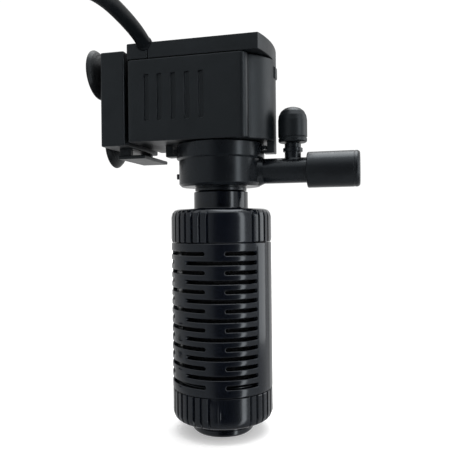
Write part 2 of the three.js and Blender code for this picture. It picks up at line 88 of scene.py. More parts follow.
# ------------------------------------------------------------------ materials
class Nodes:
    """A material with one Principled shader and short calls for its maps."""

    def __init__(self, name):
        self.mat = bpy.data.materials.new(name)
        self.mat.use_nodes = True
        self.t = self.mat.node_tree
        self.bsdf = next(n for n in self.t.nodes if n.type == "BSDF_PRINCIPLED")
        self.coord = self.t.nodes.new("ShaderNodeTexCoord").outputs["Object"]

    def link(self, a, b):
        self.t.links.new(a, b)

    def noise(self, scale, detail=4.0, rough=0.55, stretch=None, distortion=0.0):
        n = self.t.nodes.new("ShaderNodeTexNoise")
        n.inputs["Scale"].default_value = scale
        n.inputs["Detail"].default_value = detail
        n.inputs["Roughness"].default_value = rough
        n.inputs["Distortion"].default_value = distortion
        src = self.coord
        if stretch:
            m = self.t.nodes.new("ShaderNodeMapping")
            m.inputs["Scale"].default_value = stretch
            self.link(self.coord, m.inputs["Vector"])
            src = m.outputs["Vector"]
        self.link(src, n.inputs["Vector"])
        return n.outputs["Fac"]

    def voronoi(self, scale, feature="F1", stretch=None):
        n = self.t.nodes.new("ShaderNodeTexVoronoi")
        n.feature = feature
        n.inputs["Scale"].default_value = scale
        src = self.coord
        if stretch:
            m = self.t.nodes.new("ShaderNodeMapping")
            m.inputs["Scale"].default_value = stretch
            self.link(self.coord, m.inputs["Vector"])
            src = m.outputs["Vector"]
        self.link(src, n.inputs["Vector"])
        return n.outputs["Distance"]

    def wave(self, scale, axis="Z", distortion=0.0, kind="BANDS"):
        n = self.t.nodes.new("ShaderNodeTexWave")
        n.wave_type = kind
        if kind == "BANDS":
            n.bands_direction = axis
        n.inputs["Scale"].default_value = scale
        n.inputs["Distortion"].default_value = distortion
        n.inputs["Detail"].default_value = 1.0
        self.link(self.coord, n.inputs["Vector"])
        return n.outputs["Fac"]

    def remap(self, value, a, b, lo, hi):
        n = self.t.nodes.new("ShaderNodeMapRange")
        n.inputs["From Min"].default_value = a
        n.inputs["From Max"].default_value = b
        n.inputs["To Min"].default_value = lo
        n.inputs["To Max"].default_value = hi
        self.link(value, n.inputs["Value"])
        return n.outputs["Result"]

    def math(self, op, a, b):
        n = self.t.nodes.new("ShaderNodeMath")
        n.operation = op
        for i, v in enumerate((a, b)):
            if isinstance(v, (int, float)):
                n.inputs[i].default_value = v
            else:
                self.link(v, n.inputs[i])
        return n.outputs[0]

    def mix(self, fac, a, b):
        n = self.t.nodes.new("ShaderNodeMix")
        n.data_type = "RGBA"
        self.link(fac, n.inputs["Factor"])
        for name, v in (("A", a), ("B", b)):
            s = [i for i in n.inputs if i.name == name and i.type == "RGBA"][0]
            if isinstance(v, tuple):
                s.default_value = (*v, 1)
            else:
                self.link(v, s)
        return [o for o in n.outputs if o.type == "RGBA"][0]

    def bump(self, height, distance, strength=1.0, normal=None):
        n = self.t.nodes.new("ShaderNodeBump")
        n.inputs["Strength"].default_value = strength
        n.inputs["Distance"].default_value = distance
        self.link(height, n.inputs["Height"])
        if normal is not None:
            self.link(normal, n.inputs["Normal"])
        return n.outputs["Normal"]

    def set(self, name, value):
        s = self.bsdf.inputs[name]
        if isinstance(value, (int, float, tuple)):
            s.default_value = (*value, 1) if isinstance(value, tuple) else value
        else:
            self.link(value, s)


def plastic(name, dark, light, rough, spread=0.08, grain=900.0, grain_depth=0.000012, sag=0.00003,
            coat=0.0, coat_rough=0.1, ior=1.5, spec=0.5, tint=(0.84, 0.93, 1.0)):
    """Moulded plastic: mottled colour, uneven gloss with fine scuffs, spark-eroded grain and slight sink."""
    m = Nodes(name)
    patch = m.remap(m.noise(90, 3), 0.3, 0.7, 0, 1)
    m.set("Base Color", m.mix(patch, dark, light))
    uneven = m.remap(m.noise(160, 5, 0.6), 0.25, 0.75, rough - spread, rough + spread)
    scuffs = m.remap(m.noise(420, 6, 0.75, stretch=(1.0, 1.0, 0.14), distortion=0.6), 0.62, 0.78, 0.0, 0.14)
    m.set("Roughness", m.math("MINIMUM", m.math("ADD", uneven, scuffs), 0.95))
    n1 = m.bump(m.noise(grain, 3, 0.5), grain_depth)
    n2 = m.bump(m.noise(38, 1, 0.4), sag, 1.0, n1)
    m.set("Normal", n2)
    m.set("IOR", ior)
    m.set("Specular IOR Level", spec)
    m.set("Specular Tint", tint)
    m.set("Coat Weight", coat)
    m.set("Coat Roughness", coat_rough)
    return m.mat


def rubber(name, dark, light, rough, grain=1400.0, depth=0.00001, sheen=0.0, spec=0.45):
    m = Nodes(name)
    bloom = m.remap(m.noise(120, 5, 0.65), 0.45, 0.75, 0, 1)
    m.set("Base Color", m.mix(bloom, dark, light))
    m.set("Roughness", m.remap(m.noise(210, 4), 0.3, 0.7, rough - 0.07, rough + 0.1))
    m.set("Normal", m.bump(m.noise(grain, 4, 0.6), depth, 1.0, m.bump(m.noise(60, 2), 0.00004)))
    m.set("Sheen Weight", sheen)
    m.set("Specular IOR Level", spec)
    m.set("Specular Tint", (0.86, 0.94, 1.0))
    return m.mat


def metal(name, dark, light, rough, stretch=(1, 1, 1), metallic=1.0):
    m = Nodes(name)
    m.set("Base Color", m.mix(m.remap(m.noise(200, 5), 0.3, 0.7, 0, 1), dark, light))
    brushed = m.noise(1500, 4, 0.6, stretch=stretch)
    m.set("Roughness", m.remap(brushed, 0.2, 0.8, rough - 0.06, rough + 0.1))
    m.set("Normal", m.bump(brushed, 0.000006))
    m.set("Metallic", metallic)
    return m.mat


M = {}
M["satin"] = plastic("satin_abs", (0.0036, 0.0050, 0.0064), (0.0056, 0.0072, 0.0088), 0.40, 0.05, 1500, 0.000010, 0.00002)
M["satin_chamber"] = plastic("chamber_abs", (0.0030, 0.0040, 0.0056), (0.0048, 0.0060, 0.0078), 0.25, 0.04, 1300, 0.000002, 0.00001)
M["gloss"] = plastic("gloss_abs", (0.0020, 0.0030, 0.0058), (0.0036, 0.0046, 0.0078), 0.15, 0.04, 700, 0.000003, 0.00005,
                     coat=0.25, coat_rough=0.06)
M["sleeve"] = plastic("sleeve_pvc", (0.0034, 0.0042, 0.0058), (0.0052, 0.0062, 0.0080), 0.32, 0.06, 1100, 0.000008, 0.00003)
M["cup_rubber"] = rubber("cup_rubber", (0.0065, 0.0072, 0.0080), (0.0120, 0.0128, 0.0138), 0.36, 900, 0.000006, spec=0.30)
M["seal_rubber"] = rubber("seal_rubber", (0.010, 0.010, 0.011), (0.018, 0.018, 0.019), 0.55)
M["bush_rubber"] = rubber("bush_rubber", (0.012, 0.012, 0.013), (0.022, 0.022, 0.023), 0.6)
M["cord_jacket"] = rubber("cord_jacket", (0.0034, 0.0046, 0.0058), (0.0056, 0.0070, 0.0084), 0.44, 1700, 0.000014, spec=0.20)
M["plug_plastic"] = plastic("plug_pvc", (0.0085, 0.0092, 0.0105), (0.0130, 0.0138, 0.0150), 0.46, 0.06, 1500, 0.00002, 0.00003)
M["pin_metal"] = metal("pin_brass_nickel", (0.50, 0.47, 0.40), (0.62, 0.59, 0.52), 0.24, (1, 0.05, 1))
M["ceramic"] = plastic("alumina", (0.70, 0.68, 0.62), (0.78, 0.76, 0.71), 0.28, 0.05, 2200, 0.000004, 0.0)
M["ferrite"] = metal("ferrite", (0.030, 0.030, 0.032), (0.050, 0.050, 0.052), 0.48, (1, 1, 0.2), 0.35)
M["impeller_plastic"] = plastic("impeller_pom", (0.62, 0.63, 0.64), (0.70, 0.71, 0.72), 0.34, 0.05, 1200, 0.000008, 0.00002)
M["bobbin"] = plastic("bobbin_pbt", (0.58, 0.55, 0.47), (0.66, 0.63, 0.55), 0.42, 0.05, 1200, 0.00001, 0.00002)
M["resin"] = plastic("potting_resin", (0.006, 0.007, 0.009), (0.010, 0.011, 0.013), 0.18, 0.06, 300, 0.00001, 0.00015)
M["tie"] = plastic("tie_nylon", (0.012, 0.013, 0.014), (0.018, 0.019, 0.020), 0.45, 0.06, 1300, 0.00001, 0.00002)
# laminated steel: fine sheet edges stacked along Z
_m = Nodes("steel_laminations")
_w = _m.wave(330, "Z", 0.4)
_m.set("Base Color", _m.mix(_m.remap(_w, 0.1, 0.6, 0, 1), (0.10, 0.095, 0.09), (0.36, 0.37, 0.38)))
_m.set("Metallic", 0.9)
_m.set("Roughness", _m.remap(_m.noise(300, 5), 0.3, 0.7, 0.32, 0.5))
_m.set("Normal", _m.bump(_w, 0.00008))
M["steel"] = _m.mat
# enamelled copper wire laid in turns
_m = Nodes("copper_turns")
_w = _m.wave(420, "Y", 0.6)
_m.set("Base Color", _m.mix(_m.remap(_w, 0.0, 0.7, 0, 1), (0.22, 0.07, 0.025), (0.72, 0.30, 0.13)))
_m.set("Metallic", 0.85)
_m.set("Roughness", _m.remap(_m.noise(260, 4), 0.3, 0.7, 0.22, 0.38))
_m.set("Normal", _m.bump(_w, 0.0001))
M["copper"] = _m.mat
# open-cell filter foam
_m = Nodes("filter_foam")
_v = _m.voronoi(1300)
_m.set("Base Color", _m.mix(_m.remap(_v, 0.1, 0.75, 0, 1), (0.0018, 0.0020, 0.0022), (0.022, 0.023, 0.025)))
_m.set("Roughness", _m.remap(_m.noise(500, 4), 0.3, 0.7, 0.85, 1.0))
_m.set("Normal", _m.bump(_v, 0.0006, 1.0, _m.bump(_m.noise(700, 5, 0.7), 0.0004)))
_m.set("Specular IOR Level", 0.2)
M["sponge"] = _m.mat


# ------------------------------------------------------------------ mesh tools
# everything below is drawn in millimetres and scaled to metres by piece()
def filleted(pts, r=0.3, closed=False, n=4):
    """Rounds each corner of a polyline of (a, b) or (a, b, radius)."""
    out, count = [], len(pts)
    for i, p in enumerate(pts):
        rr = p[2] if len(p) > 2 else r
        if (not closed and i in (0, count - 1)) or rr <= 0:
            out.append((p[0], p[1]))
            continue
        P = Vector((p[0], p[1]))
        a = Vector(pts[i - 1][:2]) - P
        b = Vector(pts[(i + 1) % count][:2]) - P
        la, lb = a.length, b.length
        if la < 1e-9 or lb < 1e-9:
            continue
        a, b = a / la, b / lb
        ang = math.acos(max(-1.0, min(1.0, a.dot(b))))
        if ang > rad(176) or ang < rad(3):
            out.append((P.x, P.y))
            continue
        t = min(rr / math.tan(ang / 2), 0.48 * la, 0.48 * lb)
        rr = t * math.tan(ang / 2)
        c = P + (a + b).normalized() * (rr / math.sin(ang / 2))
        s, e = P + a * t - c, P + b * t - c
        a0, a1 = math.atan2(s.y, s.x), math.atan2(e.y, e.x)
        d = (a1 - a0 + math.pi) % (2 * math.pi) - math.pi
        for k in range(n + 1):
            w = a0 + d * k / n
            out.append((c.x + rr * math.cos(w), c.y + rr * math.sin(w)))
    return out


def loft(rings, closed=False, caps=False):
    """Quads between rings of equal length; caps closes both ends."""
    n = len(rings[0])
    verts = [p for r in rings for p in r]
    faces = []
    m = len(rings)
    for i in range(m if closed else m - 1):
        a, b = i * n, ((i + 1) % m) * n
        faces += [(a + k, a + (k + 1) % n, b + (k + 1) % n, b + k) for k in range(n)]
    if caps:
        faces.append(tuple(reversed(range(n))))
        faces.append(tuple(range((m - 1) * n, m * n)))
    return verts, faces


def lathe(profile, seg=96, closed=False):
    """Turned about Z; a point with r = 0 is one vertex."""
    verts, rings = [], []
    for r, z in profile:
        if r < 1e-6:
            rings.append([len(verts)])
            verts.append((0.0, 0.0, z))
        else:
            rings.append(list(range(len(verts), len(verts) + seg)))
            verts += [(r * math.cos(2 * math.pi * k / seg), r * math.sin(2 * math.pi * k / seg), z) for k in range(seg)]
    faces = []
    pairs = list(zip(rings, rings[1:])) + ([(rings[-1], rings[0])] if closed else [])
    for A, B in pairs:
        for k in range(seg):
            j = (k + 1) % seg
            if len(A) == 1 and len(B) == 1:
                break
            if len(A) == 1:
                faces.append((A[0], B[j], B[k]))
            elif len(B) == 1:
                faces.append((A[k], A[j], B[0]))
            else:
                faces.append((A[k], A[j], B[j], B[k]))
    return verts, faces


def moved(shape, mat):
    verts, faces = shape
    return [tuple(mat @ Vector(v)) for v in verts], faces


def along_x(shape, x=0.0, y=0.0, z=118.0):
    """Local Z to +X."""
    return moved(shape, Matrix.Translation((x, y, z)) @ Matrix.Rotation(rad(90), 4, "Y"))


def block(x, y, z, bevel=0.3, seg=3):
    bm = bmesh.new()
    bmesh.ops.create_cube(bm, size=1.0)
    for v in bm.verts:
        v.co = Vector(((x[0] + x[1]) / 2 + v.co.x * (x[1] - x[0]), (y[0] + y[1]) / 2 + v.co.y * (y[1] - y[0]),
                       (z[0] + z[1]) / 2 + v.co.z * (z[1] - z[0])))
    if bevel:
        bmesh.ops.bevel(bm, geom=list(bm.edges), offset=bevel, segments=seg, profile=0.5, affect="EDGES", clamp_overlap=True)
    return dump(bm)


def prism(outline, z0, z1, bevel=0.3, seg=3, sharp=30):
    bm = bmesh.new()
    lo = [bm.verts.new((x, y, z0)) for x, y in outline]
    hi = [bm.verts.new((x, y, z1)) for x, y in outline]
    n = len(outline)
    bm.faces.new(list(reversed(lo)))
    bm.faces.new(hi)
    for k in range(n):
        bm.faces.new((lo[k], lo[(k + 1) % n], hi[(k + 1) % n], hi[k]))
    bmesh.ops.recalc_face_normals(bm, faces=list(bm.faces))
    if bevel:
        edges = [e for e in bm.edges if len(e.link_faces) == 2 and e.calc_face_angle(0) > rad(sharp)]
        bmesh.ops.bevel(bm, geom=edges, offset=bevel, segments=seg, profile=0.5, affect="EDGES", clamp_overlap=True)
    return dump(bm)


def dump(bm):
    bm.verts.ensure_lookup_table()
    bm.verts.index_update()
    out = [tuple(v.co) for v in bm.verts], [tuple(v.index for v in f.verts) for f in bm.faces]
    bm.free()
    return out


def sector(r0, r1, a0, a1, z0, z1, bevel=0.25, step=3.0):
    n = max(2, math.ceil((a1 - a0) / step))
    a = [rad(a0 + (a1 - a0) * i / n) for i in range(n + 1)]
    return prism([(r1 * math.cos(t), r1 * math.sin(t)) for t in a] +
                 [(r0 * math.cos(t), r0 * math.sin(t)) for t in reversed(a)], z0, z1, bevel)


def plain(name, shape):
    """A bare mesh object in millimetres, for booleans."""
    me = bpy.data.meshes.new(name)
    me.from_pydata([tuple(v) for v in shape[0]], [], shape[1])
    bm = bmesh.new()
    bm.from_mesh(me)
    bmesh.ops.remove_doubles(bm, verts=list(bm.verts), dist=1e-4)
    bmesh.ops.recalc_face_normals(bm, faces=list(bm.faces))
    bm.to_mesh(me)
    bm.free()
    o = bpy.data.objects.new(name, me)
    scene.collection.objects.link(o)
    return o


def cut(shape, op, *others):
    """shape joined with, or cut by, the others; returns verts and faces again."""
    o = plain("tmp_a", shape)
    for s in others:
        b = plain("tmp_b", s)
        m = o.modifiers.new("b", "BOOLEAN")
        m.operation, m.solver, m.object = op, "EXACT", b
        bpy.context.view_layer.update()
        me = bpy.data.meshes.new_from_object(o.evaluated_get(bpy.context.evaluated_depsgraph_get()))
        o.modifiers.clear()
        o.data = me
        bpy.data.objects.remove(b)
    out = [tuple(v.co) for v in o.data.vertices], [tuple(p.vertices) for p in o.data.polygons]
    bpy.data.objects.remove(o)
    return out


def piece(name, shape, mat, body, replaces=(), sharp=34, weighted=True, bevel=0.0):
    me = bpy.data.meshes.new(name)
    me.from_pydata([(v[0] * MM, v[1] * MM, v[2] * MM) for v in shape[0]], [], shape[1])
    bm = bmesh.new()
    bm.from_mesh(me)
    bmesh.ops.remove_doubles(bm, verts=list(bm.verts), dist=2e-7)
    bmesh.ops.dissolve_degenerate(bm, edges=list(bm.edges), dist=1e-7)
    loose = [v for v in bm.verts if not v.link_faces]
    bmesh.ops.delete(bm, geom=loose, context="VERTS")
    bmesh.ops.recalc_face_normals(bm, faces=list(bm.faces))
    bm.to_mesh(me)
    bm.free()
    me.validate()
    me.shade_smooth()
    me.set_sharp_from_angle(angle=rad(sharp))
    me.materials.append(M[mat])
    o = bpy.data.objects.new(name, me)
    scene.collection.objects.link(o)
    if bevel:
        b = o.modifiers.new("edge", "BEVEL")
        b.width, b.segments, b.limit_method, b.angle_limit = bevel * MM, 2, "ANGLE", rad(40)
        b.use_clamp_overlap = True
    if weighted:
        w = o.modifiers.new("shade", "WEIGHTED_NORMAL")
        w.keep_sharp = True
        w.weight = 60
    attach(o, body)
    if replaces:
        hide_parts(*replaces)
    return o


# ------------------------------------------------------------------ supply cord
CORD_R = 3.25
ROUTE = [
    (-29.7, -8.0, 169.2), (-29.35, -15.0, 172.4), (-29.0, -22.0, 175.3), (-28.9, -28.0, 177.0), (-29.3, -34.0, 178.25),
    (-29.5, -41.0, 179.25), (-29.6, -48.0, 180.0), (-29.9, -55.0, 180.7), (-31.6, -63.0, 181.1), (-36.2, -71.8, 181.1),
    (-43.6, -79.0, 180.5), (-53.0, -83.8, 178.5), (-63.0, -85.6, 174.6), (-72.0, -86.0, 167.6), (-79.0, -86.0, 157.5),
    (-83.2, -86.0, 145.0), (-85.4, -86.0, 130.0), (-86.6, -86.0, 112.0), (-87.4, -86.0, 94.0), (-87.9, -86.0, 76.0),
    (-88.2, -86.0, 60.0), (-88.8, -85.95, 46.0), (-91.0, -85.9, 35.0), (-97.1, -85.85, 25.8), (-104.0, -85.8, 20.6),
    (-110.3, -85.78, 18.1),
]
SR_A, SR_B = Vector((-29.65, -9.5, 169.9)), Vector((-29.0, -22.4, 175.5))
COIL_C = (-133.0, -52.25)


def catmull(pts, step):
    """Centripetal Catmull-Rom through the points, sampled about every step."""
    P = [Vector(p) for p in pts]
    P = [P[0] * 2 - P[1]] + P + [P[-1] * 2 - P[-2]]
    out = []
    for i in range(1, len(P) - 2):
        p0, p1, p2, p3 = P[i - 1:i + 3]
        t0 = 0.0
        t1 = t0 + (p1 - p0).length ** 0.5
        t2 = t1 + (p2 - p1).length ** 0.5
        t3 = t2 + (p3 - p2).length ** 0.5
        n = max(2, round((p2 - p1).length / step))
        for k in range(n):
            t = t1 + (t2 - t1) * k / n
            a1 = p0 * ((t1 - t) / (t1 - t0)) + p1 * ((t - t0) / (t1 - t0))
            a2 = p1 * ((t2 - t) / (t2 - t1)) + p2 * ((t - t1) / (t2 - t1))
            a3 = p2 * ((t3 - t) / (t3 - t2)) + p3 * ((t - t2) / (t3 - t2))
            b1 = a1 * ((t2 - t) / (t2 - t0)) + a2 * ((t - t0) / (t2 - t0))
            b2 = a2 * ((t3 - t) / (t3 - t1)) + a3 * ((t - t1) / (t3 - t1))
            out.append(b1 * ((t2 - t) / (t2 - t1)) + b2 * ((t - t1) / (t2 - t1)))
    out.append(P[-2])
    return out


def ease(t, keys):
    """Smooth steps between (t, value) keys."""
    for (t0, v0), (t1, v1) in zip(keys, keys[1:]):
        if t <= t1:
            if v0 == v1 or t <= t0:
                return v0
            s = (t - t0) / (t1 - t0)
            return v0 + (v1 - v0) * s * s * (3 - 2 * s)
    return keys[-1][1]


def coil_point(t):
    r = ease(t, [(0, 33.5), (0.58, 33.5), (1.00, 26.85), (2.24, 26.85), (2.66, 33.5), (9, 33.5)])
    z = ease(t, [(0, 16.55), (1.48, 16.55), (1.90, 9.95), (3.22, 9.95), (3.58, 3.35), (9, 3.35)])
    a = rad(-90 - 360 * t)
    return (COIL_C[0] + r * math.cos(a), COIL_C[1] + r * math.sin(a), z)


CORD_TURNS = 4.25
centre = ROUTE[1:] + [(-118.5, -85.76, 16.7)] + [coil_point(0.02 + (CORD_TURNS - 0.02) * k / 170) for k in range(171)]
centre += [(-166.5, -43.0, 3.4), (-166.5, -33.0, 4.2), (-166.45, -25.0, 5.1), (-166.4, -16.0, 5.4)]
line = catmull(centre, 1.6)
for _ in range(30):      # evens out the bends, ends held
    line = [line[0], line[1]] + [line[i] * 0.5 + (line[i - 1] + line[i + 1]) * 0.25 for i in range(2, len(line) - 2)] + line[-2:]
cord_curve = bpy.data.curves.new("supply_cord", "CURVE")
cord_curve.dimensions = "3D"
cord_curve.bevel_depth = CORD_R * MM
cord_curve.bevel_resolution = 6
cord_curve.use_fill_caps = True
sp = cord_curve.splines.new("POLY")
sp.points.add(len(line) - 1)
for q, p in zip(sp.points, line):
    q.co = (p.x * MM, p.y * MM, p.z * MM, 1)
sp.use_smooth = True
cord_curve.materials.append(M["cord_jacket"])
cord = bpy.data.objects.new("supply_cord", cord_curve)
scene.collection.objects.link(cord)
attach(cord, "motor_unit")
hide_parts("power_cord", "cord_coil", "cord_tail")

# plug: moulded body with grip ridges, its tapered tail, two flat pins
PX, PY, PZ = -166.4, -23.7, 6.6


def super_ring(w, h, y, zc, n=48, e=3.2):
    out = []
    for k in range(n):
        a = 2 * math.pi * k / n
        c, s = math.cos(a), math.sin(a)
        out.append((PX + math.copysign(abs(c) ** (2 / e) * w, c), y, zc + math.copysign(abs(s) ** (2 / e) * h, s)))
    return out


rings = []
for k in range(25):                      # tail with relief grooves
    t = k / 24
    r = 3.75 + 1.25 * t
    if 2 < k < 21 and k % 3 == 0:
        r -= 0.55
    rings.append(super_ring(r, r, PY + 0.1 + 15.4 * t, PZ - 1.2 + 0.0 * t, e=2.0))
for t, w, h in [(16.2, 6.2, 5.3), (18.0, 8.4, 6.1), (20.2, 9.6, 6.4), (22.4, 9.9, 6.45)]:
    rings.append(super_ring(w, h, PY + t, PZ, e=2.4 + 0.9 * (w - 6.2) / 3.7))
for k in range(19):                      # grip ridges across the body
    y = 23.4 + 0.62 * k
    d = 0.45 if k % 3 == 1 else 0.0
    rings.append(super_ring(9.95 - d, 6.48 - d, PY + y, PZ, e=3.3))
for t, w, h in [(36.0, 9.95, 6.48), (40.2, 9.95, 6.48), (41.4, 9.8, 6.35), (42.1, 9.4, 5.9), (42.35, 8.6, 5.2)]:
    rings.append(super_ring(w, h, PY + t, PZ, e=3.6))
plug = piece("plug_body", loft(rings, caps=True), "plug_plastic", "motor_unit", replaces=("mains_plug",), sharp=50)
for side, dx in (("left", -6.35), ("right", 6.35)):
    pin = block((PX + dx - 0.75, PX + dx + 0.75), (PY + 42.0, PY + 58.0), (PZ - 3.15, PZ + 3.15), 0.35)
    hole = moved(lathe([(0, -3), (1.6, -3), (1.6, 3), (0, 3)], 32),
                 Matrix.Translation((PX + dx, PY + 54.2, PZ)) @ Matrix.Rotation(rad(90), 4, "Y"))
    piece("plug_blade_" + side, cut(pin, "DIFFERENCE", hole), "pin_metal", "motor_unit",
                      replaces=("plug_pin_" + side,))

# tie round the bundle, open underneath
def tie_shape():
    r0, r1, top, w, t = 22.8, 37.5, 20.3, 2.1, 0.9
    out = filleted([(r0 - t, 0.35), (r0 - t, top + t), (r1 + t, top + t), (r1 + t, 0.35)], 2.6, n=6)
    inn = filleted([(r0, 0.35), (r0, top), (r1, top), (r1, 0.35)], 1.8, n=6)
    prof = out + list(reversed(inn))
    sh = prism([(x, z) for x, z in prof], -w, w, 0.22, 2, 50)
    m = Matrix.Translation((COIL_C[0], COIL_C[1], 0)) @ Matrix.Rotation(rad(135), 4, "Z") @ Matrix.Rotation(rad(90), 4, "X")
    return moved(sh, m)


piece("cord_binding", tie_shape(), "tie", "motor_unit", replaces=("cord_tie",))

# ------------------------------------------------------------------ cartridge
FACE = -75.6
CART_R, RIB_PITCH = 23.0, 9.4


def ribbed_cap(profile, rib_zone, panel_at, panel_wide, depth=0.95, extra=None, cols=720):
    """Cap turned from a closed profile; the grip grooves sink inside rib_zone, apart from two plain panels."""
    half = panel_wide / 2
    rings = []
    for r, z, ribbed in profile:
        ring = []
        for k in range(cols):
            a = 360.0 * k / cols
            rel = (a - panel_at + 180) % 360 - 180          # 0 at the panel's middle
            d = 0.0
            away = min(abs(rel), 180 - abs(rel))            # both panels
            if ribbed and away > half:
                arc = 180 - 2 * half
                n = round(arc / RIB_PITCH)
                p = arc / n
                s = ((abs(rel) - half if abs(rel) <= 90 else 180 - half - abs(rel)) % p) / p
                s = ((rel - half) % p) / p if rel > 0 else ((rel + 180 - half) % p) / p
                # narrow rounded groove between broad lands
                g = abs(s - (0.21 if rel > 0 else 0.79))
                w = 0.17
                if g < w:
                    d = depth * (0.5 + 0.5 * math.cos(math.pi * g / w)) ** 0.45
            zone = 1.0
            lo, hi, soft = rib_zone
            zone = max(0.0, min(1.0, (z - lo) / soft)) * max(0.0, min(1.0, (hi - z) / soft))
            rr = r - d * (1.0 if ribbed == 1 else ribbed) * (zone ** 0.5 if ribbed else 0)
            zz = z
            if extra:
                rr, zz = extra(rr, zz, rel, ribbed)
            ring.append((rr * math.cos(rad(a)), rr * math.sin(rad(a)), zz))
        rings.append(ring)
    return rings


def flag(pts, test):
    return [(r, z, 1 if test(r, z) else 0) for r, z in pts]


# bottom cap: outer side from the foot's centre up to the barrel, then the collar inside
prof = filleted([
    (0.02, 1.0), (8.6, 1.0, 0.3), (9.3, 0.35, 0.3), (10.0, 0.0, 0.2), (13.2, 0.0, 0.5), (14.0, 0.9, 0.5), (14.0, 2.6, 0.1),
    (13.75, 2.85, 0.1), (14.0, 3.1, 0.1), (14.0, 4.7, 0.5), (18.8, 5.3, 1.6), (22.0, 6.5, 2.2), (CART_R, 9.0, 1.6)], n=4)
prof += [(CART_R, z) for z in (10.6, 11.2, 12.0, 13.5, 15.0, 16.5, 18.0, 18.6, 19.0, 19.3)]
prof += [(CART_R - 0.05, 19.5), (CART_R - 0.15, 19.62), (CART_R - 0.32, 19.7)]
prof += filleted([(20.6, 19.7), (20.4, 19.9, 0.1), (20.4, 23.9, 0.4), (19.0, 23.9, 0.4), (19.0, 8.5, 0.8), (0.02, 8.5)], n=3)


def bottom_extra(r, z, rel, ribbed):
    if r > 22 and abs(rel) < 40:
        x, y = rad(rel + 12.8) * CART_R, z - 20.3            # thumb scallop under the rim
        q = math.hypot(x / 4.4, y / 3.1)
        if q < 1.15:
            r -= 0.3 * max(0.0, min(1.0, (1.12 - q) / 0.40))
        bx = abs(rad(rel + 12.0) * CART_R) - 0.35            # raised index bar
        bz = abs(z - 13.0) - 2.6
        d = max(bx, bz)
        if d < 0.3:
            r += 0.22 * max(0.0, min(1.0, (0.3 - d) / 0.3))
    return r, z


cap = ribbed_cap(flag(prof, lambda r, z: r > 20.5 and 6.1 < z < 19.71), (6.3, 30.0, 1.8), FACE + 8.4, 43, extra=bottom_extra)
piece("cap_lower", loft(cap, caps=True), "gloss", "bottom_cap", replaces=("cartridge_bottom_cap",), sharp=40, weighted=False)

# top cap with the neck
prof = filleted([
    (10.3, 98.6, 0.2), (10.3, 109.0, 0.3), (12.5, 109.0, 0.45), (12.5, 101.0, 0.9), (20.2, 101.0, 0.5), (21.6, 100.5, 1.2),
    (22.6, 99.2, 1.0), (CART_R, 97.4, 1.0)], closed=False, n=4)
prof = prof + [(CART_R, z) for z in (96.8, 96.0, 94.5, 93.0, 91.5, 90.0, 88.5, 87.4, 87.0)]
prof += [(CART_R - 0.04, 86.6), (CART_R - 0.14, 86.36), (CART_R - 0.32, 86.2)]
prof += filleted([(20.6, 86.2), (20.4, 86.0, 0.1), (20.4, 82.4, 0.4), (19.0, 82.4, 0.4), (19.0, 98.6, 0.8), (10.6, 98.6)], n=3)
cap = ribbed_cap(flag(prof, lambda r, z: r > 20.5 and 86.1 < z < 101.2), (60.0, 99.6, 1.6), FACE + 11.0, 48)
piece("cap_upper", loft(cap, closed=True), "gloss", "cartridge_head", replaces=("cartridge_top_cap",), sharp=40, weighted=False)

# slotted barrel: one grid of angles and heights, with the slots left out and their rims rounded over
R_OUT, R_IN = 23.1, 20.8
Z0, Z1 = 20.0, 85.9
H = 0.9
OFF = [0.30, 0.14, 0.0]                                     # rim lines outside each slot edge
DROP = lambda d: 0.20 * max(0.0, 1 - max(0.0, d) / 0.30) ** 2
SLOTS = {0: [(-96, -18), (3.6, 43), (84, 162), (183.6, 223)], 1: [(-96, -67), (-43.3, 43), (84, 113), (136.7, 223)]}
MMDEG = 180 / (math.pi * R_OUT)
cols = set()
for pat in SLOTS.values():
    for a0, a1 in pat:
        for t in (-1.2, -0.6, -0.30, -0.14, 0.0, 0.06, 0.18, 0.36, 0.6, 0.9, 1.5):
            cols.add(round(a0 + t * MMDEG, 4))
            cols.add(round(a1 - t * MMDEG, 4))
SEAM = 63.5
for t in (-0.5, -0.25, -0.12, 0, 0.12, 0.25, 0.5):
    cols.add(round(SEAM + t * MMDEG, 4))
    cols.add(round(SEAM + 180 + t * MMDEG - 360, 4))
for k in range(144):
    a = -116.5 + 2.5 * k
    if all(abs(a - c) > 0.9 for c in cols):
        cols.add(round(a, 4))
cols = sorted(((c + 116.5) % 360) - 116.5 for c in cols)


def slot_at(row, a):
    """mm from the nearer end of the slot that holds this angle; negative outside."""
    best = -99.0
    for a0, a1 in SLOTS[row % 2]:
        x = min(a - a0, a1 - a) / MMDEG
        best = max(best, x)
    return best


def half_at(x, off):
    if x >= H:
        return H + off
    q = (H + off) ** 2 - (H - x) ** 2
    return math.sqrt(q) if q > 0 else 0.0


def seam_dip(a):
    d = min(abs(a - SEAM), abs(a - SEAM + 180)) / MMDEG
    return 0.26 * max(0.0, 1 - d / 0.25)


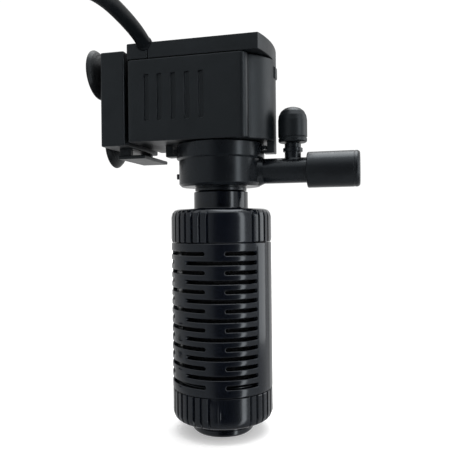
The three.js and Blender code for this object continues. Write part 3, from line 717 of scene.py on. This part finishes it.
rows = [("plain", Z0, 0.30), ("plain", Z0 + 0.08, 0.12), ("plain", Z0 + 0.25, 0.02), ("plain", Z0 + 0.5, 0.0)]
for row in reversed(range(15)):
    for s, k in [(-1, 0), (-1, 1), (-1, 2), (1, 2), (1, 1), (1, 0)]:
        rows.append(("slot", row, s, k))
rows += [("plain", Z1 - 0.5, 0.0), ("plain", Z1 - 0.25, 0.02), ("plain", Z1 - 0.08, 0.12), ("plain", Z1, 0.30)]
outer, inner, is_open = [], [], {}
for i, row in enumerate(rows):
    for j, a in enumerate(cols):
        if row[0] == "plain":
            z, r = row[1], R_OUT - row[2] - seam_dip(a)
            zi = z
        else:
            _, n, s, k = row
            zc = 81.5 - 4.08 * n
            x = slot_at(n, a)
            if x <= -OFF[0] - 1e-6:
                z = zc + s * (H + OFF[0]) * (1.0, 0.72, 0.35)[k]
                r = R_OUT - seam_dip(a)
            else:
                h = half_at(x, OFF[k])
                z = zc + s * h
                d = (abs(h) - H) if x >= H else math.hypot(H - x, h) - H
                r = R_OUT - DROP(d)
            zi = z
            if s < 0 and k == 2:
                is_open[(i, j)] = x >= -1e-6
        t = rad(a + FACE)
        outer.append((r * math.cos(t), r * math.sin(t), z))
        inner.append((R_IN * math.cos(t), R_IN * math.sin(t), zi))
nc, nr = len(cols), len(rows)
faces = []
N = nc * nr
for i in range(nr - 1):
    for j in range(nc):
        j2 = (j + 1) % nc
        hole = is_open.get((i, j)) and is_open.get((i, j2))
        a, b, c, d = i * nc + j, i * nc + j2, (i + 1) * nc + j2, (i + 1) * nc + j
        if hole:
            faces.append((a, b, N + b, N + a))
            faces.append((d, c, N + c, N + d))
        else:
            faces.append((a, b, c, d))
            faces.append((N + d, N + c, N + b, N + a))
for j in range(nc):
    j2 = (j + 1) % nc
    faces.append((j, j2, N + j2, N + j))
    t = (nr - 1) * nc
    faces.append((t + j, t + j2, N + t + j2, N + t + j))
piece("barrel_shell", (outer + inner, faces), "gloss", "barrel", replaces=("strainer_barrel",), sharp=42, weighted=False)

# sponge: uneven foam sleeve
rings = []
for r0, z in ([(4.0, 8.95)] + [(18.1, 8.95)] + [(18.35, 9.2 + 0.9 * k) for k in range(98)] + [(18.1, 96.95), (4.0, 96.95)]):
    ring = []
    for k in range(150):
        a = 2 * math.pi * k / 150
        w = 0.0
        if r0 > 10 and 9 < z < 96.5:
            w = 0.14 * math.sin(z * 2.9 + 5 * math.sin(a * 7)) * math.sin(a * 31 + 3 * math.sin(z * 0.7)) \
                + 0.10 * math.sin(z * 6.1 + a * 23) - 0.12
        ring.append(((r0 + w) * math.cos(a), (r0 + w) * math.sin(a), z))
    rings.append(ring)
sponge = piece("foam_sleeve", loft(rings, closed=True), "sponge", "barrel", replaces=("filter_sponge",), weighted=False)

# ------------------------------------------------------------------ pump chamber
PIPE_Z = 118.0
outer = filleted([
    (9.9, 97.5), (9.9, 109.3, 0.2), (11.9, 109.45, 0.15), (11.9, 110.7, 0.2), (11.6, 110.9, 0.1), (11.6, 111.3, 0.1),
    (17.9, 111.3, 0.5), (19.2, 112.6, 0.6), (19.2, 123.5, 0.35), (20.3, 124.2, 0.3), (20.3, 130.4, 0.3), (19.9, 130.7, 0.2),
    (19.0, 130.7, 0.2), (19.0, 127.0, 0.1), (17.3, 127.0, 0.2), (17.3, 113.3, 0.6), (8.3, 113.3, 0.3), (8.3, 97.5)], n=4)
chamber = lathe(outer, 128, closed=True)
pipe = along_x(lathe(filleted([
    (0, 17.4), (6.7, 17.4), (6.7, 18.4, 0.4), (5.7, 20.6, 1.2), (5.7, 51.5, 0.3), (5.2, 52.0, 0.3), (0, 52.0)], n=4), 72))
stem = moved(lathe(filleted([
    (0, 120.0), (4.1, 120.0), (4.1, 122.6, 0.5), (3.65, 123.4, 0.6), (3.65, 126.1, 0.15), (4.4, 126.3, 0.15), (4.4, 127.9, 0.2),
    (3.65, 128.1, 0.2), (3.65, 130.0, 0.2), (2.6, 130.0, 0.1), (2.6, 140.5, 0.3), (0, 140.5)], n=3), 64),
    Matrix.Translation((33.6, 0, 0)))
bore = along_x(lathe([(0, 10), (4.5, 10), (4.5, 53), (0, 53)], 64))
air = moved(lathe([(0, 118), (1.1, 118), (1.1, 141), (0, 141)], 32), Matrix.Translation((33.6, 0, 0)))
lugs = [sector(19.8, 22.2, a - 9, a + 9, 127.7, 129.3, 0.2) for a in (0, 180)]
pip = block((-21.2, -18.6), (-1.2, 1.2), (115.4, 117.9), 0.3)
spider = [moved(lathe([(0, 111.5), (3.4, 111.5), (3.4, 115.2), (0, 115.2)], 32), Matrix.Identity(4)),
          block((-8.8, 8.8), (-0.8, 0.8), (111.5, 113.2), 0.0), block((-0.8, 0.8), (-8.8, 8.8), (111.5, 113.2), 0.0)]
seat = lathe([(0, 112.4), (2.4, 112.4), (2.4, 116), (0, 116)], 32)
body = cut(chamber, "UNION", pipe, stem, *lugs, pip, *spider)
body = cut(body, "DIFFERENCE", bore, air, seat)
piece("volute_shell", body, "satin_chamber", "chamber", replaces=("pump_chamber",), sharp=32)

knob = filleted([
    (0, 141.0), (2.95, 141.0, 0.1), (2.95, 130.4, 0.2), (5.9, 130.4, 0.4), (6.4, 130.9, 0.2), (6.4, 132.2, 0.15),
    (6.15, 132.45, 0.1), (6.15, 132.7, 0.1), (6.5, 132.95, 0.2), (6.5, 140.2, 1.0), (6.2, 142.3, 1.5), (5.2, 144.3, 1.6),
    (3.6, 145.6, 1.6), (1.8, 146.2, 1.0), (0, 146.3)], n=4)
piece("knob_cap", moved(lathe(knob, 96), Matrix.Translation((33.6, 0, 0))), "satin", "air_knob",
      replaces=("air_valve_knob",), sharp=40)

sleeve = filleted([
    (6.05, 40.2, 0.2), (7.75, 40.2, 0.3), (8.0, 40.6, 0.3), (8.0, 60.4, 0.1), (7.86, 60.55, 0.08), (7.86, 60.75, 0.08),
    (8.0, 60.9, 0.1), (8.0, 61.9, 0.5), (7.55, 62.7, 0.5), (6.9, 63.0, 0.3), (6.05, 63.0, 0.3)], closed=True, n=4)
piece("adapter_sleeve", along_x(lathe(sleeve, 96, closed=True)), "sleeve", "sleeve", replaces=("outlet_sleeve",), sharp=40)

# ------------------------------------------------------------------ motor head
LEFT, HALF = -37.3, 21.0
RIGHT, CORNER, END_C, END_R = 17.0, 3.0, 6.58, 19.37      # flat right side with a round end bulging out of it
GROOVES = (-28.0, -22.0, -15.6, -9.3, -3.0)


def offset(poly, d):
    """Inward by d, the polygon counter-clockwise."""
    if abs(d) < 1e-9:
        return list(poly)
    out, n = [], len(poly)
    for i in range(n):
        p0, p, p1 = Vector(poly[i - 1]), Vector(poly[i]), Vector(poly[(i + 1) % n])
        n0 = Vector((-(p - p0).y, (p - p0).x)).normalized()
        n1 = Vector((-(p1 - p).y, (p1 - p).x)).normalized()
        b = n0 + n1
        out.append(tuple(p + b * (d / max(0.3, 1 + n0.dot(n1)))))
    return out


def corner(cx, cy, r, a0, a1, n=5):
    return [(cx + r * math.cos(rad(a0 + (a1 - a0) * i / n)), cy + r * math.sin(rad(a0 + (a1 - a0) * i / n))) for i in range(n + 1)]


front = [-33.0]
for g in GROOVES:
    front += [g - 1.0 + t for t in (-0.6, -0.22, -0.1, 0.0, 0.1, 0.22, 0.5)] + [g]
    front += [g + 1.0 - t for t in (0.5, 0.22, 0.1, 0.0, -0.1, -0.22, -0.6)]
front += [0.0, 3.5, 7.0, 10.0, 12.5]


def shell_outline(d=0.0):
    """The housing's outline drawn in by d; the same number of points for every d."""
    h, r, c = HALF - d, END_R - d, max(1.6 - d, 0.25)
    k, kx, ky = CORNER - d, RIGHT - CORNER, HALF - CORNER
    end = math.degrees(math.acos((RIGHT - d - END_C) / r))
    pts = [(x, -h) for x in front]
    pts += corner(kx, -ky, k, 270, 360, 8)
    pts += [(END_C + r * math.cos(rad(-end + 2 * end * i / 56)), r * math.sin(rad(-end + 2 * end * i / 56))) for i in range(57)]
    pts += corner(kx, ky, k, 0, 90, 8)
    pts += [(x, h) for x in (8.0, 4.0, 0.0, -6.0, -12.0, -18.0, -24.0, -30.0)]
    pts += corner(LEFT + d + c, h - c, c, 90, 180) + [(LEFT + d, y) for y in (12.0, 4.0, -4.0, -12.0)]
    return pts + corner(LEFT + d + c, -h + c, c, 180, 270)


outline = shell_outline()


def groove_depth(x, z):
    best = 99.0
    for g in GROOVES:
        qx, qz = abs(x - g) - (1.0 - 0.5), abs(z - 150.3) - (10.1 - 0.5)
        best = min(best, math.hypot(max(qx, 0), max(qz, 0)) + min(max(qx, qz), 0) - 0.5)
    s = max(0.0, min(1.0, (0.16 - best) / 0.32))
    return 0.9 * s * s * (3 - 2 * s)


def circle_like(poly, r, z):
    """A circle about Z with one point for each of the polygon's, at the same azimuths."""
    out = []
    for x, y in poly:
        a = math.atan2(y, x)
        out.append((r * math.cos(a), r * math.sin(a), z))
    return out


rings = [circle_like(outline, 9.7, 133.0), circle_like(outline, 9.7, 131.2), circle_like(outline, 9.9, 131.0),
         circle_like(outline, 15.0, 131.0)]
for d, z in [(1.2, 131.0), (0.55, 131.0), (0.42, 131.03), (0.22, 131.13), (0.07, 131.3), (0.0, 131.6)]:
    rings.append([(x, y, z) for x, y in shell_outline(d)])
walls = [133.0, 136.5, 139.6, 139.85] + [140.2 + t for t in (-0.22, -0.12, 0.0, 0.12, 0.25, 0.45, 0.8)] + [142, 146, 150, 154, 158]
walls += [160.4 - t for t in (0.8, 0.45, 0.25, 0.12, 0.0, -0.12, -0.22)] + [160.9, 164.0, 166.6]
for z in walls:
    ring = []
    for x, y in outline:
        d = groove_depth(x, z) if y < -HALF + 1e-6 and x < 2 else 0.0
        ring.append((x, y + d, z))
    rings.append(ring)
for d, z in [(0.05, 167.0), (0.17, 167.18), (0.35, 167.3), (1.7, 167.3), (2.0, 167.1), (2.0, 133.4), (2.3, 133.0)]:
    rings.append([(x, y, z) for x, y in shell_outline(d)])
housing = loft(rings, closed=True)
rail_neck = block((-43.1, LEFT + 1), (-4, 4), (134.2, 165.5), 0.3)
rail_head = block((-45.2, -42.6), (-7, 7), (134.2, 165.5), 0.4)
nib = block((24.0, 26.5), (-2.6, 2.6), (159.4, 164.8), 0.6)
extras = [rail_head, rail_neck, nib]
for a in (0, 180):
    extras.append(sector(22.6, 25.9, a - 8, a + 8, 125.9, 131.9, 0.3))
    extras.append(sector(20.7, 22.9, a - 8, a + 8, 125.9, 127.3, 0.25))
housing = cut(housing, "UNION", *extras)
piece("housing_shell", housing, "satin", "motor_unit", replaces=("motor_housing",), sharp=34)

# lid and cable entry cover
def slab(poly, z0, z1, soft=0.35, steps=3):
    rings = []
    for i in range(steps + 1):
        a = math.pi / 2 * i / steps
        rings.append([(x, y, z0 + soft * (1 - math.cos(a))) for x, y in offset(poly, soft * (1 - math.sin(a)))])
    rings.append([(x, y, (z0 + z1) / 2) for x, y in poly])
    for i in range(steps + 1):
        a = math.pi / 2 * i / steps
        rings.append([(x, y, z1 - soft * (1 - math.sin(a))) for x, y in offset(poly, soft * (1 - math.cos(a)))])
    return loft(rings, caps=True)


SEAM_X, LID_RIGHT, BULGE = -27.4, 22.2, 3.3
br = (HALF ** 2 + BULGE ** 2) / (2 * BULGE)
bcx, ba = LID_RIGHT + BULGE - br, math.degrees(math.asin(HALF / br))
lid_poly = corner(SEAM_X + 0.55, -HALF + 0.4, 0.4, 180, 270, 3) + [(x, -HALF) for x in (-18.0, -8.0, 2.0, 12.0)]
lid_poly += corner(LID_RIGHT - 0.45, -HALF + 0.45, 0.45, 270, 340, 3)
lid_poly += [(bcx + br * math.cos(rad(-ba + 2 * ba * i / 24)), br * math.sin(rad(-ba + 2 * ba * i / 24))) for i in range(1, 24)]
lid_poly += corner(LID_RIGHT - 0.45, HALF - 0.45, 0.45, 20, 90, 3) + [(x, HALF) for x in (12.0, 2.0, -8.0, -18.0)]
lid_poly += corner(SEAM_X + 0.55, HALF - 0.4, 0.4, 90, 180, 3)
cov_poly = corner(LEFT - 0.2 + 1.2, -HALF + 1.2, 1.2, 180, 270, 4) + corner(SEAM_X - 0.55, -HALF + 0.4, 0.4, 270, 360, 3)
cov_poly += corner(SEAM_X - 0.55, HALF - 0.4, 0.4, 0, 90, 3) + corner(LEFT - 0.2 + 1.2, HALF - 1.2, 1.2, 90, 180, 4)
axis = (SR_B - SR_A).normalized()
aim = Matrix.Translation(SR_A) @ axis.to_track_quat("Z", "Y").to_matrix().to_4x4()
notch = moved(lathe([(0, -3), (5.2, -3), (5.2, 7.4), (3.8, 8.2), (3.7, 12.4), (3.85, 13.4), (3.85, 26), (0, 26)], 64), aim)
piece("lid_plate", cut(slab(lid_poly, 167.6, 174.6), "DIFFERENCE", notch), "satin", "motor_unit",
      replaces=("housing_lid",), sharp=32)
piece("entry_cover", cut(slab(cov_poly, 167.6, 174.6), "DIFFERENCE", notch), "satin", "motor_unit",
      replaces=("cable_entry_cover",), sharp=32)
relief = lathe(filleted([
    (3.3, -0.5), (4.0, -0.5, 0.3), (3.9, 3.8, 0.2), (4.6, 4.0, 0.2), (4.6, 6.8, 0.2), (3.65, 7.1, 0.2), (3.55, 11.6, 0.4),
    (3.4, 12.2, 0.2), (3.3, 12.3, 0.1)], closed=True, n=3), 64, closed=True)
piece("relief_grommet", moved(relief, aim), "cord_jacket", "motor_unit", replaces=("cord_strain_relief",), sharp=40)

# ------------------------------------------------------------------ bracket
BX0, BX1, BZ0, BZ1, BH = -50.5, -38.8, 129.6, 171.9, 20.6
CUP_UPPER, CUP_LOWER = (-7.9, 165.85, -3.5), (10.6, 134.7, 0)
bp = corner(BX0 + 1.3, -BH + 1.3, 1.3, 180, 270) + corner(BX1 - 0.8, -BH + 0.8, 0.8, 270, 360)
bp += corner(BX1 - 0.8, BH - 0.8, 0.8, 0, 90) + corner(BX0 + 1.3, BH - 1.3, 1.3, 90, 180)
shell = slab(bp, BZ0, BZ1, 0.6, 4)
shell = cut(shell, "DIFFERENCE",
            block((BX0 + 2, BX1 - 2), (-BH + 2, BH - 2), (BZ0 + 2, BZ1 - 2), 0.5),
            block((BX1 - 3, BX1 + 1), (-4.35, 4.35), (133.9, BZ1 + 1), 0.0),
            block((-45.55, BX1 - 1.9), (-7.35, 7.35), (BZ1 - 3, BZ1 + 1), 0.0))
lip = block((-47.0, -33.6), (-10.0, 20.6), (124.9, 126.6), 0.45)
webs = [block((-46.6, -41.0), (-9.0, -6.0), (125.7, 130.6), 0.3), block((-46.6, -41.0), (16.0, 19.0), (125.7, 130.6), 0.3)]
stop = block((BX0 + 3.5, BX1 - 1.0), (-5.2, 5.2), (BZ0 + 1, BZ0 + 4.3), 0.3)
shell = cut(shell, "UNION", lip, *webs, stop)
holes = [along_x(lathe([(0, -1), (2.9, -1), (2.9, 4), (0, 4)], 48), BX0, y, z) for y, z, _ in (CUP_UPPER, CUP_LOWER)]
holes.append(along_x(lathe([(0, 2.2), (4.0, 2.2), (4.0, 5.2), (0, 5.2)], 48), BX0, *CUP_LOWER[:2]))
shell = cut(shell, "DIFFERENCE", *holes)
piece("bracket_shell", shell, "satin", "bracket", replaces=("mounting_bracket",), sharp=32)


def suction_cup(y, z, tilt):
    prof = filleted([
        (0, -4.6), (3.0, -4.8, 1.0), (7.0, -5.8, 3.0), (10.0, -7.4, 0.6), (10.4, -7.6, 0.2), (11.4, -7.6, 0.15), (11.6, -7.35, 0.2),
        (11.55, -6.95, 0.25), (10.5, -5.7, 0.9), (9.2, -4.75, 0.2), (8.95, -4.75, 0.15), (7.8, -4.0, 1.2), (4.9, -3.1, 0.5),
        (4.4, -2.3, 0.3), (4.4, -1.2, 0.3), (3.9, -1.0, 0.2), (2.4, -1.0, 0.2), (2.4, 2.4, 0.3), (3.6, 2.6, 0.3), (3.3, 3.7, 0.5),
        (1.8, 4.4, 0.7), (0, 4.6)], n=4)
    m = Matrix.Translation((BX0, y, z)) @ Matrix.Rotation(rad(tilt), 4, "Y") @ Matrix.Rotation(rad(90), 4, "Y")
    return moved(lathe(prof, 112), m)


piece("cup_top", suction_cup(*CUP_UPPER), "cup_rubber", "cup_upper", replaces=("suction_cup_upper",), sharp=45)
piece("cup_bottom", suction_cup(*CUP_LOWER), "cup_rubber", "cup_lower", replaces=("suction_cup_lower",), sharp=45)

# ------------------------------------------------------------------ inner parts
piece("o_ring", lathe([(17.9 + 0.7 * math.cos(rad(22.5 * i)), 128.05 + 0.7 * math.sin(rad(22.5 * i))) for i in range(16)], 96, closed=True),
      "seal_rubber", "motor_unit", replaces=("chamber_seal_ring",), sharp=60)
for name, node, body_name, ro, z0, z1 in (("bush_upper", "upper_shaft_bush", "motor_unit", 8.05, 157.3, 158.9),
                                          ("bush_lower", "lower_shaft_bush", "chamber", 2.0, 112.7, 115.0)):
    prof = filleted([(1.3, z0), (ro, z0), (ro, z1), (1.3, z1)], 0.25, closed=True, n=3)
    piece(name, lathe(prof, 64, closed=True), "bush_rubber", body_name, replaces=(node,), sharp=40)
for node, mat in (("ceramic_shaft", "ceramic"), ("rotor_magnet", "ferrite"), ("impeller", "impeller_plastic"), ("rotor_well", "satin"),
                  ("stator_core", "steel"), ("coil_bobbin", "bobbin"), ("coil_winding", "copper"), ("potting_resin", "resin")):
    me = frame["nodes"][node].data
    me.materials.clear()
    me.materials.append(M[mat])

# ------------------------------------------------------------------ stage and light
fm = Nodes("stage_white")
fm.set("Base Color", fm.mix(fm.remap(fm.noise(6, 2), 0.3, 0.7, 0, 1), (0.90, 0.90, 0.90), (0.93, 0.93, 0.93)))
fm.set("Roughness", fm.remap(fm.noise(20, 2), 0.3, 0.7, 0.85, 0.95))
fm.set("Specular IOR Level", 0.2)
fm.set("Emission Color", (1.0, 1.0, 1.0))
fm.set("Emission Strength", 0.35)
me = bpy.data.meshes.new("stage_floor")
me.from_pydata([(3 * math.cos(rad(a)), 3 * math.sin(rad(a)), -0.0002) for a in range(0, 360, 5)], [], [tuple(range(72))])
floor = bpy.data.objects.new("stage_floor", me)
me.materials.append(fm.mat)
scene.collection.objects.link(floor)

world = bpy.data.worlds.new("studio")
scene.world = world
world.use_nodes = True
wt = world.node_tree
wt.nodes.clear()


def wnode(kind, **kw):
    n = wt.nodes.new(kind)
    for k, v in kw.items():
        setattr(n, k, v)
    return n


def wmath(op, a, b=0.0):
    n = wnode("ShaderNodeMath", operation=op)
    for i, v in enumerate((a, b)):
        if isinstance(v, (int, float)):
            n.inputs[i].default_value = v
        else:
            wt.links.new(v, n.inputs[i])
    return n.outputs[0]


coord = wnode("ShaderNodeTexCoord").outputs["Generated"]
split = wnode("ShaderNodeSeparateXYZ")
wt.links.new(coord, split.inputs[0])
X, Y, Z = split.outputs


def dot(v):
    return wmath("ADD", wmath("ADD", wmath("MULTIPLY", X, v[0]), wmath("MULTIPLY", Y, v[1])), wmath("MULTIPLY", Z, v[2]))


# bright all round the back and the sides, dark where the photographer stands
side, ahead = dot(tuple(right)), dot(tuple(fwd))
ang = wmath("ARCTAN2", side, wmath("MULTIPLY", ahead, -1.0))      # 0 towards the camera, positive to its right
ramp = wnode("ShaderNodeValToRGB")
wt.links.new(wmath("ADD", wmath("DIVIDE", ang, 2 * math.pi), 0.5), ramp.inputs[0])
cr = ramp.color_ramp
cr.interpolation = "LINEAR"
STOPS = [(-180, 0.80), (-140, 0.52), (-100, 0.44), (-60, 0.38), (-34, 0.34), (-22, 0.22), (-14, 0.06), (-6, 0.02), (14, 0.02),
         (24, 0.06), (36, 0.16), (42, 0.50), (45, 3.4), (52, 3.4), (56, 0.60), (90, 0.42), (120, 0.58), (180, 0.80)]
while len(cr.elements) > 1:
    cr.elements.remove(cr.elements[-1])
for i, (deg, v) in enumerate(STOPS):
    e = cr.elements[0] if i == 0 else cr.elements.new(deg / 360 + 0.5)
    e.position = deg / 360 + 0.5
    e.color = (v, v, v, 1)
# softens towards the zenith and the nadir
high = wmath("MINIMUM", wmath("MAXIMUM", wmath("MULTIPLY", wmath("SUBTRACT", wmath("ABSOLUTE", Z), 0.45), 2.4), 0.0), 1.0)
mixn = wnode("ShaderNodeMix", data_type="RGBA")
wt.links.new(high, mixn.inputs["Factor"])
wt.links.new(ramp.outputs["Color"], [i for i in mixn.inputs if i.name == "A" and i.type == "RGBA"][0])
wt.links.new(wmath("ADD", wmath("MULTIPLY", wmath("GREATER_THAN", Z, 0.0), 0.75), 0.30), [i for i in mixn.inputs if i.name == "B" and i.type == "RGBA"][0])
lit = wnode("ShaderNodeBackground")
wt.links.new([o for o in mixn.outputs if o.type == "RGBA"][0], lit.inputs["Color"])
lit.inputs["Strength"].default_value = 1.0
white = wnode("ShaderNodeBackground")
white.inputs["Color"].default_value = (1, 1, 1, 1)
white.inputs["Strength"].default_value = 1.05
path = wnode("ShaderNodeLightPath")
mixs = wnode("ShaderNodeMixShader")
wt.links.new(path.outputs["Is Camera Ray"], mixs.inputs[0])
wt.links.new(lit.outputs[0], mixs.inputs[1])
wt.links.new(white.outputs[0], mixs.inputs[2])
wt.links.new(mixs.outputs[0], wnode("ShaderNodeOutputWorld").inputs["Surface"])


def lamp(name, kind, energy, loc, target, size=0.3, size_y=None, colour=(1, 1, 1), angle=None):
    d = bpy.data.lights.new(name, kind)
    d.energy = energy
    d.color = colour
    if kind == "AREA":
        d.shape = "RECTANGLE"
        d.size, d.size_y = size, size_y or size
    if angle is not None:
        d.angle = angle
    o = bpy.data.objects.new(name, d)
    o.location = loc
    o.rotation_euler = (Vector(target) - Vector(loc)).to_track_quat("-Z", "Y").to_euler()
    scene.collection.objects.link(o)
    return o


lamp("top_sun", "SUN", 2.0, (0.05, 0.3, 1.5), (0, 0, 0.05), angle=rad(50))
v = right * 0.62 + fwd * 0.10
lamp("right_soft", "AREA", 1.0, (v.x, v.y, 0.20), (0, 0, 0.12), 0.35, 0.6)

scene.view_settings.view_transform = "Standard"
scene.view_settings.look = "None"
scene.view_settings.exposure = 0.0
scene.view_settings.gamma = 1.0

# the sweep under the object and the cord laid out of the view are left out of the mirror images in the black gloss
for o in scene.objects:
    if o.name in ("stage_floor", "supply_cord", "cord_binding"):
        o.visible_glossy = False
